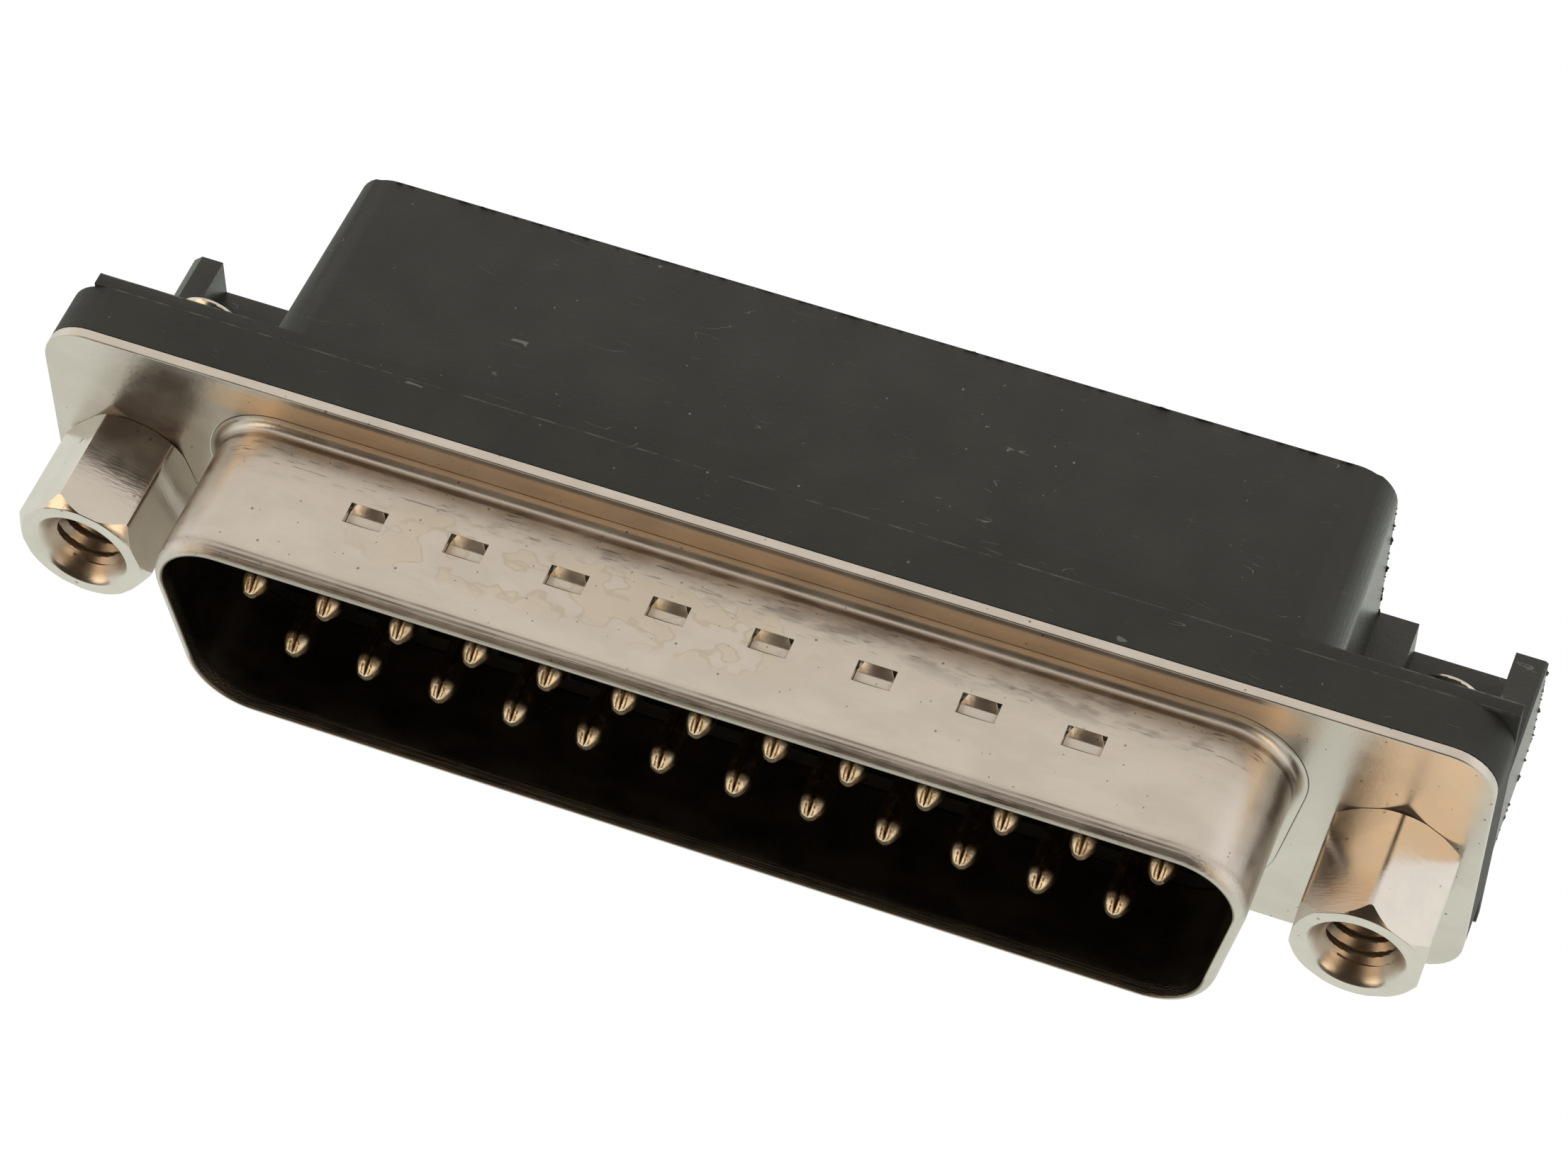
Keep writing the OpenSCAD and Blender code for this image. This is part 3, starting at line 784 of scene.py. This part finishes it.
class Val:
    """An output socket that can be used in sums."""

    def __init__(self, finish, socket):
        self.finish = finish
        self.socket = socket

    def _math(self, op, a, b):
        return self.finish.node("ShaderNodeMath", {"operation": op}, {0: a, 1: b})

    def __add__(self, other):
        return self._math("ADD", self, other)

    def __radd__(self, other):
        return self._math("ADD", other, self)

    def __sub__(self, other):
        return self._math("SUBTRACT", self, other)

    def __rsub__(self, other):
        return self._math("SUBTRACT", other, self)

    def __mul__(self, other):
        return self._math("MULTIPLY", self, other)

    def __rmul__(self, other):
        return self._math("MULTIPLY", other, self)

    def __truediv__(self, other):
        return self._math("DIVIDE", self, other)

    def __pow__(self, other):
        return self._math("POWER", self, other)

    def absolute(self):
        return self._math("ABSOLUTE", self, 0.0)

    def least(self, other):
        return self._math("MINIMUM", self, other)

    def most(self, other):
        return self._math("MAXIMUM", self, other)


class Finish:
    """A material in the making."""

    def __init__(self, name, **constants):
        self.mat = bpy.data.materials.new(name)
        self.mat.use_nodes = True
        self.tree = self.mat.node_tree
        self.shader = self.tree.nodes["Principled BSDF"]
        for key, value in constants.items():
            self.shader.inputs[key.replace("_", " ")].default_value = value
        where = self.node("ShaderNodeTexCoord", out="Object")
        self.mm = self.node("ShaderNodeVectorMath", {"operation": "SCALE"},
                            {0: where, "Scale": 1 / MM})
        split = self.tree.nodes.new("ShaderNodeSeparateXYZ")
        self.tree.links.new(self.mm.socket, split.inputs[0])
        self.x = Val(self, split.outputs[0])
        self.d = Val(self, split.outputs[1]) - FACE_Y / MM
        self.h = Val(self, split.outputs[2]) - AXIS_Z / MM

    def node(self, kind, settings=None, inputs=None, out=0):
        """Adds a node: settings first, then the values or links of its sockets."""
        made = self.tree.nodes.new(kind)
        for key, value in (settings or {}).items():
            setattr(made, key, value)
        for key, value in (inputs or {}).items():
            if isinstance(value, Val):
                self.tree.links.new(value.socket, made.inputs[key])
            else:
                made.inputs[key].default_value = value
        return Val(self, made.outputs[out])

    def feed(self, key, value):
        self.tree.links.new(value.socket, self.shader.inputs[key])

    def ramp(self, value, lo, hi, a=0.0, b=1.0):
        """A smooth step: a below lo, b above hi."""
        return self.node("ShaderNodeMapRange", {"interpolation_type": "SMOOTHSTEP"},
                         {"Value": value, "From Min": lo, "From Max": hi, "To Min": a, "To Max": b})

    def stretch(self, sx, sd, sh, shift=0.0):
        """Object coordinates in millimetres, scaled along x, d and h."""
        scaled = self.node("ShaderNodeVectorMath", {"operation": "MULTIPLY"},
                           {0: self.mm, 1: (sx, sd, sh)})
        return self.node("ShaderNodeVectorMath", {"operation": "ADD"},
                         {0: scaled, 1: (shift, shift * 0.7, -shift)})

    def noise(self, sx, sd=None, sh=None, shift=0.0, detail=3.0, rough=0.55):
        """Noise with so many cells a millimetre along x, d and h."""
        vec = self.stretch(sx, sx if sd is None else sd, sx if sh is None else sh, shift)
        return self.node("ShaderNodeTexNoise", None,
                         {"Vector": vec, "Scale": 1.0, "Detail": detail, "Roughness": rough})

    def specks(self, cells, radius, keep, shift=0.0):
        """Small round dots, one in a few of the cells."""
        vec = self.stretch(cells, cells, cells, shift)
        made = self.tree.nodes.new("ShaderNodeTexVoronoi")
        made.inputs["Scale"].default_value = 1.0
        self.tree.links.new(vec.socket, made.inputs["Vector"])
        near = self.ramp(Val(self, made.outputs["Distance"]), radius, radius * 0.6)
        pick = self.node("ShaderNodeSeparateColor", None, {0: Val(self, made.outputs["Color"])})
        return near * self.ramp(pick, keep, keep - 0.02)

    def mix(self, fac, a, b):
        """Colour a where fac is 0 and b where it is 1."""
        made = self.tree.nodes.new("ShaderNodeMix")
        made.data_type = "RGBA"
        for key, value in ((0, fac), (6, a), (7, b)):
            if isinstance(value, Val):
                self.tree.links.new(value.socket, made.inputs[key])
            elif key:
                made.inputs[key].default_value = (*value, 1.0)
            else:
                made.inputs[key].default_value = value
        return Val(self, made.outputs[2])

    def bump(self, height, depth):
        """Feeds Normal with a height in millimetres."""
        made = self.node("ShaderNodeBump", None,
                         {"Strength": 1.0, "Distance": depth * MM, "Height": height})
        self.feed("Normal", made)


# %% [markdown]
# ## Plated steel
#
# The shell is dull plate over drawn steel. Drawing leaves fine lines along the pull, handling
# leaves smudges near the root, and drying leaves yellowish tide marks round the dimples. On
# the flange the plate is brushed along its length; the strip of flange above the D is painted
# tan as a painted reflection, and is made less metallic there so that the painted colour shows.
# Inside the cup the wall is painted dark as shade, and painted dark lines run round the root
# and along the lip. All of it is colour and roughness only: outside the tan strip the surface
# stays metal, so it keeps taking its light from what it mirrors.

# %% Finish: plated steel


def plated_steel():
    f = Finish("plated_steel", Metallic=1.0)
    top = f.ramp(f.h, 3.9, 4.3) * f.ramp(f.d, -0.35, -0.7)
    face = f.ramp(f.d, -0.12, -0.04)
    tone = f.noise(0.45, 0.9, 0.6, 3.0, 4.0)
    colour = f.mix(f.ramp(tone, 0.35, 0.7), (0.66, 0.615, 0.57), (0.74, 0.695, 0.64))
    brushed = f.noise(0.25, 3.0, 9.0, 11.0, 4.0)
    # Painted reflection: the flange strip above the D is painted tan, streaked by the brushing, and
    # made less metallic so the painted colour shows.
    tan_reflection_strip = face * f.ramp(f.h, 4.55, 4.9) * f.ramp(f.h, 6.08, 5.85) * f.ramp(f.x.absolute(), 21.0, 18.5)
    tan_reflection_strip = tan_reflection_strip * f.ramp(f.noise(0.22, 0.5, 0.9, 71.0, 3.0), 0.3, 0.6, 0.75, 1.0)
    colour = f.mix(tan_reflection_strip * f.ramp(brushed, 0.3, 0.75, 0.45, 1.0), colour, (0.96, 0.66, 0.38))
    f.feed("Metallic", 1 - 0.55 * tan_reflection_strip)
    smudge = top * f.ramp(f.d, -2.3, -1.0) * f.ramp(f.noise(0.5, 1.6, 0.5, 21.0, 3.0, 0.6), 0.5, 0.68)
    scratch = top * f.ramp(f.d, -2.4, -0.9) * f.ramp(f.noise(0.9, 9.0, 0.9, 27.0, 2.0), 0.62, 0.7)
    colour = f.mix(smudge * 0.6, colour, (0.26, 0.24, 0.23))
    colour = f.mix(scratch * 0.7, colour, (0.12, 0.11, 0.105))
    wet = f.noise(0.55, 0.8, 0.55, 33.0, 2.0, 0.45)
    zone = top * f.ramp((f.x + 5.0).absolute(), 10.0, 5.5) * f.ramp((f.d + 2.9).absolute(), 1.7, 1.0)
    ring = f.ramp((wet - 0.5).absolute(), 0.026, 0.0)
    colour = f.mix(ring * zone * 0.34, colour, (0.45, 0.37, 0.22))
    colour = f.mix(zone * f.ramp(wet, 0.47, 0.56) * 0.3, colour, (0.66, 0.58, 0.40))
    pits = (f.specks(1.6, 0.10, 0.3, 5.0) + f.specks(3.5, 0.14, 0.16, 9.0)).least(1.0)
    colour = f.mix(pits * 0.7, colour, (0.1, 0.085, 0.07))
    lean = (CH - f.h).most(0.0).least(2 * CH) * math.tan(SLOPE)
    beside = (f.x.absolute() - CX + lean).most(0.0)
    above = (f.h.absolute() - CH).most(0.0)
    off = (beside * beside + above * above) ** 0.5
    # Painted shade: the inside wall of the cup is darkened to brown.
    inside = f.ramp(f.d, -0.2, -0.45) * f.ramp(off, 2.3, 2.22)
    # Painted dark reflection: a dark line round the outside of the wall just in front of the root
    # fillet.
    root = f.ramp((f.d + 0.52).absolute(), 0.16, 0.05) * f.ramp(off, 2.5, 2.56)
    root = root * f.ramp(f.noise(0.5, 1.5, 0.5, 91.0), 0.3, 0.55, 0.5, 1.0)
    colour = f.mix(root * 0.75, colour, (0.11, 0.085, 0.065))
    colour = f.mix(inside * 0.85, colour, (0.12, 0.082, 0.045))
    lip = f.ramp(f.d, -SHELL_L + 0.75, -SHELL_L + 0.4)
    drawn = f.noise(0.12, 11.0, 11.0, 51.0, 4.0, 0.7)
    # Painted shade: the two groove lines are dark lines painted across the top near the lip; the mesh
    # has no groove there.
    groove = f.ramp((f.d + SHELL_L - 0.5).absolute(), 0.07, 0.02)
    groove = groove + f.ramp((f.d + SHELL_L - 0.32).absolute(), 0.06, 0.02)
    groove = groove.least(1.0) * f.ramp(f.noise(0.35, 2.0, 2.0, 61.0), 0.35, 0.6, 0.35, 1.0)
    groove = groove * f.ramp(f.x.absolute(), 18.2, 16.5)
    # Painted shade: the top darkened along the lip, then the two painted shade lines over it.
    colour = f.mix(top * lip * 0.4, colour, (0.42, 0.375, 0.32))
    colour = f.mix(top * groove * 0.7, colour, (0.15, 0.125, 0.10))
    f.feed("Base Color", colour)
    rough = 0.27 + 0.10 * f.ramp(tone, 0.3, 0.7) + 0.12 * smudge + 0.1 * zone * wet + 0.05 * tan_reflection_strip
    f.feed("Roughness", rough)
    grain = f.noise(6.0, 2.0, 6.0, 2.0, 3.0) + 0.5 * f.noise(1.0, 0.5, 1.0, 8.0)
    f.bump(grain + 4.0 * lip * drawn + 1.5 * tan_reflection_strip * brushed, 0.006)
    return f.mat


# %% [markdown]
# ## Nickel plate, brass and gold
#
# The jackscrews are turned and then plated: bright on the flats, browner where the plate is
# thin in the thread. The contacts carry a thin wash of gold, and their colour is painted light:
# a pale painted highlight on the tips where the light reaches, and dark brown painted shade
# down the shafts. The inserts are plain brass.

# %% Finish: nickel, brass, gold


def nickel_plate():
    f = Finish("nickel_plate", Metallic=1.0)
    dx = f.x.absolute() - SCREW_X
    r = (dx * dx + f.h * f.h) ** 0.5
    tone = f.noise(0.8, 0.8, 0.8, 4.0)
    colour = f.mix(f.ramp(tone, 0.35, 0.7), (0.70, 0.655, 0.61), (0.76, 0.715, 0.665))
    bore = f.ramp(r, 1.75, 1.45) * f.ramp(f.d, -0.1, -0.3)
    colour = f.mix(bore * 0.8, colour, (0.42, 0.32, 0.24))
    spots = f.specks(2.0, 0.16, 0.22, 6.0) + f.specks(0.8, 0.18, 0.16, 14.0)
    colour = f.mix(spots.least(1.0) * 0.6, colour, (0.2, 0.16, 0.12))
    f.feed("Base Color", colour)
    f.feed("Roughness", 0.16 + 0.1 * f.ramp(tone, 0.35, 0.7) + 0.15 * bore)
    f.bump(f.noise(2.0, 9.0, 2.0, 1.0), 0.004)
    return f.mat


def insert_brass():
    f = Finish("insert_brass", Metallic=1.0)
    tone = f.noise(1.2, 1.2, 1.2, 2.0)
    f.feed("Base Color", f.mix(tone, (0.62, 0.5, 0.33), (0.72, 0.6, 0.42)))
    f.feed("Roughness", 0.28 + 0.15 * tone)
    return f.mat


def contact_gold():
    f = Finish("contact_gold", Metallic=1.0)
    tone = f.noise(3.0, 2.0, 3.0, 5.0, 4.0, 0.65)
    upper = f.ramp(f.h, -0.01, 0.01)
    across = f.node("ShaderNodeMath", {"operation": "FLOORED_MODULO"},
                    {0: f.x + 101.0 * PITCH_X - 0.5 * PITCH_X * upper, 1: PITCH_X}) - PITCH_X / 2
    above = f.h - (2 * upper - 1) * ROW_H
    side = f.node("ShaderNodeMath", {"operation": "ARCTAN2"}, {0: across, 1: above}).absolute()
    # Painted highlight: pale lobes either side of the top of each tip; the rest of the contact is
    # painted dark brown as shade.
    painted_highlight_lobes = f.ramp(side, 0.14, 0.32) * f.ramp(side, 1.15, 0.8)
    tip = f.ramp(f.d, -PIN_L + 0.72, -PIN_L + 0.5) * painted_highlight_lobes
    colour = f.mix(tip, (0.12, 0.08, 0.045), (0.98, 0.84, 0.64))
    colour = f.mix(f.ramp(tone, 0.5, 0.62) * 0.55, colour, (0.30, 0.19, 0.10))
    f.feed("Base Color", colour)
    f.feed("Roughness", 0.26 + 0.25 * tone)
    f.bump(tone, 0.03)
    return f.mat


# %% [markdown]
# ## Black plastic
#
# Glass-filled nylon comes out of the mould almost matt, with a fine grain that catches light
# at a low angle, and it collects pale dust and hairline scratches. The base is a warm-green
# black; the grain is bump at two sizes; specks are the few cells of a Voronoi pattern that
# pass a threshold. Inside the mouth the plastic is painted near black as shade, with brown
# dust on the ledges, and pale painted highlight lines run along the top edges at the seam
# and at the rear of the layer beside the hood.

# %% Finish: black plastic


def black_plastic():
    f = Finish("black_plastic", Metallic=0.0, Specular_IOR_Level=0.35)
    tone = f.noise(0.35, 0.35, 0.35, 3.0, 5.0)
    colour = f.mix(f.ramp(tone, 0.3, 0.75), (0.017, 0.0185, 0.016), (0.023, 0.0245, 0.0215))
    fine = f.noise(5.0, 5.0, 5.0, 8.0, 4.0, 0.7)
    colour = f.mix(f.ramp(fine, 0.62, 0.78) * 0.5, colour, (0.045, 0.048, 0.042))
    dust = (f.specks(1.3, 0.07, 0.16, 4.0) + f.specks(3.2, 0.12, 0.06, 13.0)).least(1.0)
    colour = f.mix(dust * 0.6, colour, (0.22, 0.22, 0.2))
    hair = f.ramp((f.noise(0.28, 1.2, 0.4, 41.0, 1.0) - 0.5).absolute(), 0.0035, 0.001)
    broken = f.ramp(f.noise(0.9, 0.9, 0.9, 17.0, 2.0), 0.6, 0.66)
    colour = f.mix(hair * broken * 0.6, colour, (0.16, 0.16, 0.15))
    # Painted shade: inside the mouth the plastic is darkened to near black; the brown crumbs are dust
    # on top of it.
    mouth_shade_and_dust = f.ramp(f.d, 0.1, -0.3)
    crumbs = f.ramp(f.noise(2.2, 2.2, 2.2, 29.0, 5.0, 0.75), 0.58, 0.72)
    colour = f.mix(mouth_shade_and_dust * 0.75, colour, (0.004, 0.003, 0.002))
    colour = f.mix(mouth_shade_and_dust * crumbs * 0.5, colour, (0.06, 0.038, 0.02))
    # Painted highlight: pale lines along the top edge at the seam and at the rear of the layer beside
    # the hood.
    edge = f.ramp((f.d - LAYER_D).absolute(), 0.07, 0.02) * f.ramp(f.x.absolute(), 19.3, 20.4)
    edge = edge + 0.6 * f.ramp((f.d - SEAM_D).absolute(), 0.04, 0.02)
    edge = edge * f.ramp(f.h, TOP_H - 0.2, TOP_H - 0.08)
    edge = edge * f.ramp(f.noise(0.8, 0.8, 0.8, 83.0, 4.0, 0.7), 0.42, 0.6, 0.1, 1.0)
    colour = f.mix(edge * 0.6, colour, (0.16, 0.16, 0.145))
    f.feed("Base Color", colour)
    flank = f.ramp(f.x.absolute(), 19.3, 19.95) * f.ramp(f.d, 2.95, 3.2)
    f.feed("Roughness", 0.5 + 0.14 * fine - 0.3 * flank)
    f.bump(fine + 0.6 * f.noise(16.0, 16.0, 16.0, 1.0, 2.0), 0.018)
    return f.mat


FINISHES["plated_steel"] = plated_steel()
FINISHES["nickel_plate"] = nickel_plate()
FINISHES["insert_brass"] = insert_brass()
FINISHES["contact_gold"] = contact_gold()
FINISHES["black_plastic"] = black_plastic()
print("finishes:", sorted(FINISHES))

# %% [markdown]
# ## Dressing the part
#
# Each made piece stands for its solids, takes its finish by the record's slot name and rides
# on the one body. The solids that need no dressing keep their own mesh and only get a finish.

# %% Pieces onto the body
for sub in frame["record"]["subparts"]:
    node = frame["nodes"][sub["node"]]
    node.data.materials.clear()
    node.data.materials.append(FINISHES[sub["material_slot"]])


def dress(piece, name, slot, *nodes):
    """Names a piece, paints it, and lets it stand for its solids."""
    piece.name = name
    piece.data.name = name
    piece.data.materials.clear()
    piece.data.materials.append(FINISHES[slot])
    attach(piece, "root")
    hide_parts(*nodes)
    return piece


dress(shell, "shell_drawn", "plated_steel", "front_shell")
dress(housing, "housing_moulded", "black_plastic", "rear_housing")
for node, screw in screws.items():
    dress(screw, node.replace("jackscrew", "hex_jackscrew"), "nickel_plate", node)
for row, (row_h, tail_d, members) in ROWS.items():
    made = make_row(row, FINISHES["contact_gold"])
    dress(made, f"contacts_{row}", "contact_gold", *[f"contact_{i}" for i in members])
    print(made.name, len(made.data.polygons))

# %% [markdown]
# ## Camera, floor and light
#
# The connector is looked down on from the right of the mating side through a long lens. Metal
# is only as good as what it mirrors, so the world is drawn as the tent round the object: a
# warm white box behind and above, pale ground level, and the dark of the camera side with
# tan edges. Diffuse light comes from the same world and from two soft lamps.

# %% Camera
cam = bpy.data.cameras.new("camera")
cam.lens = 113.6777
cam.sensor_width = 36
cam_obj = bpy.data.objects.new("camera", cam)
cam_obj.location = (0.0362786, -0.1022052, 0.1463729)
cam_obj.rotation_euler = (0.63860312, -0.00660361, 0.36222855)
cam.clip_start = 0.01
bpy.context.scene.collection.objects.link(cam_obj)
bpy.context.scene.camera = cam_obj

# %% Floor


def floor_plane():
    lo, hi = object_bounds()
    size = 0.5
    z = lo[2] - 0.0001
    mesh = bpy.data.meshes.new("floor")
    mesh.from_pydata([(-size, -size, z), (size, -size, z), (size, size, z), (-size, size, z)],
                     [], [(0, 1, 2, 3)])
    obj = bpy.data.objects.new("floor", mesh)
    bpy.context.scene.collection.objects.link(obj)
    f = Finish("pale_floor", Roughness=0.8)
    f.shader.inputs["Base Color"].default_value = (0.72, 0.74, 0.70, 1)
    camera = f.node("ShaderNodeLightPath", out="Is Camera Ray")
    glossy = f.node("ShaderNodeLightPath", out="Is Glossy Ray")
    glow = f.node("ShaderNodeEmission", None, {"Color": f.mix(camera, (0.82, 0.85, 0.77), (1, 1, 1))})
    seen = camera.most(glossy)
    both = f.node("ShaderNodeMixShader", None, {0: seen, 1: Val(f, f.shader.outputs[0]), 2: glow})
    f.tree.links.new(both.socket, f.tree.nodes["Material Output"].inputs["Surface"])
    mesh.materials.append(f.mat)
    return obj


floor_plane()

# %% World as a light tent


class Sky(Finish):
    """The same sums, on a world."""

    def __init__(self, name):
        self.mat = bpy.data.worlds.new(name)
        self.mat.use_nodes = True
        self.tree = self.mat.node_tree
        self.way = self.node("ShaderNodeTexCoord", out="Generated")

    def part(self, direction):
        """How much of the ray runs along a direction, from -1 to 1."""
        d = Vector(direction).normalized()
        return self.node("ShaderNodeVectorMath", {"operation": "DOT_PRODUCT"},
                         {0: self.way, 1: tuple(d)}, out="Value")

    def toward(self, direction, inner, outer):
        """1 within inner degrees of a direction, fading to 0 at outer degrees."""
        return self.ramp(self.part(direction), math.cos(math.radians(outer)),
                         math.cos(math.radians(inner)))


def tent():
    s = Sky("light_tent")
    colour = s.mix(s.toward((-0.2, 0.6, 0.8), 30, 55), (1.02, 0.99, 0.94), (0.80, 0.74, 0.66))
    height = s.part((0, 0, 1))
    front = s.ramp(s.part((0, -1, 0)), 0.02, 0.30) * s.ramp(height, -0.08, 0.06)
    front = front * s.ramp(s.part((1, 0, 0)).absolute(), 0.93, 0.80)
    colour = s.mix(front, colour, (0.05, 0.035, 0.022))
    for side in (-1, 1):
        colour = s.mix(s.toward((0.70 * side, -0.556, 0.43), 11, 20), colour, (1.75, 1.36, 0.92))
    seen = s.node("ShaderNodeLightPath", out="Is Camera Ray")
    colour = s.mix(seen, colour, (1.0, 1.0, 1.0))
    back = s.tree.nodes["Background"]
    s.tree.links.new(colour.socket, back.inputs["Color"])
    back.inputs["Strength"].default_value = 1.0
    bpy.context.scene.world = s.mat


tent()

# %% Lamps


def soft_lamp(name, where, size, watts, tint):
    """A square lamp that looks at the connector."""
    data = bpy.data.lights.new(name, "AREA")
    data.shape = "SQUARE"
    data.size = size
    data.energy = watts
    data.color = tint
    obj = bpy.data.objects.new(name, data)
    obj.location = where
    obj.rotation_euler = (-Vector(where)).to_track_quat("-Z", "Y").to_euler()
    obj.visible_glossy = False
    bpy.context.scene.collection.objects.link(obj)


soft_lamp("rear_box", (-0.12, 0.30, 0.36), 0.30, 1.2, (1.0, 0.96, 0.94))
soft_lamp("front_fill", (0.30, -0.20, 0.34), 0.14, 0.2, (1.0, 0.97, 0.94))
bpy.context.scene.view_settings.view_transform = "Standard"
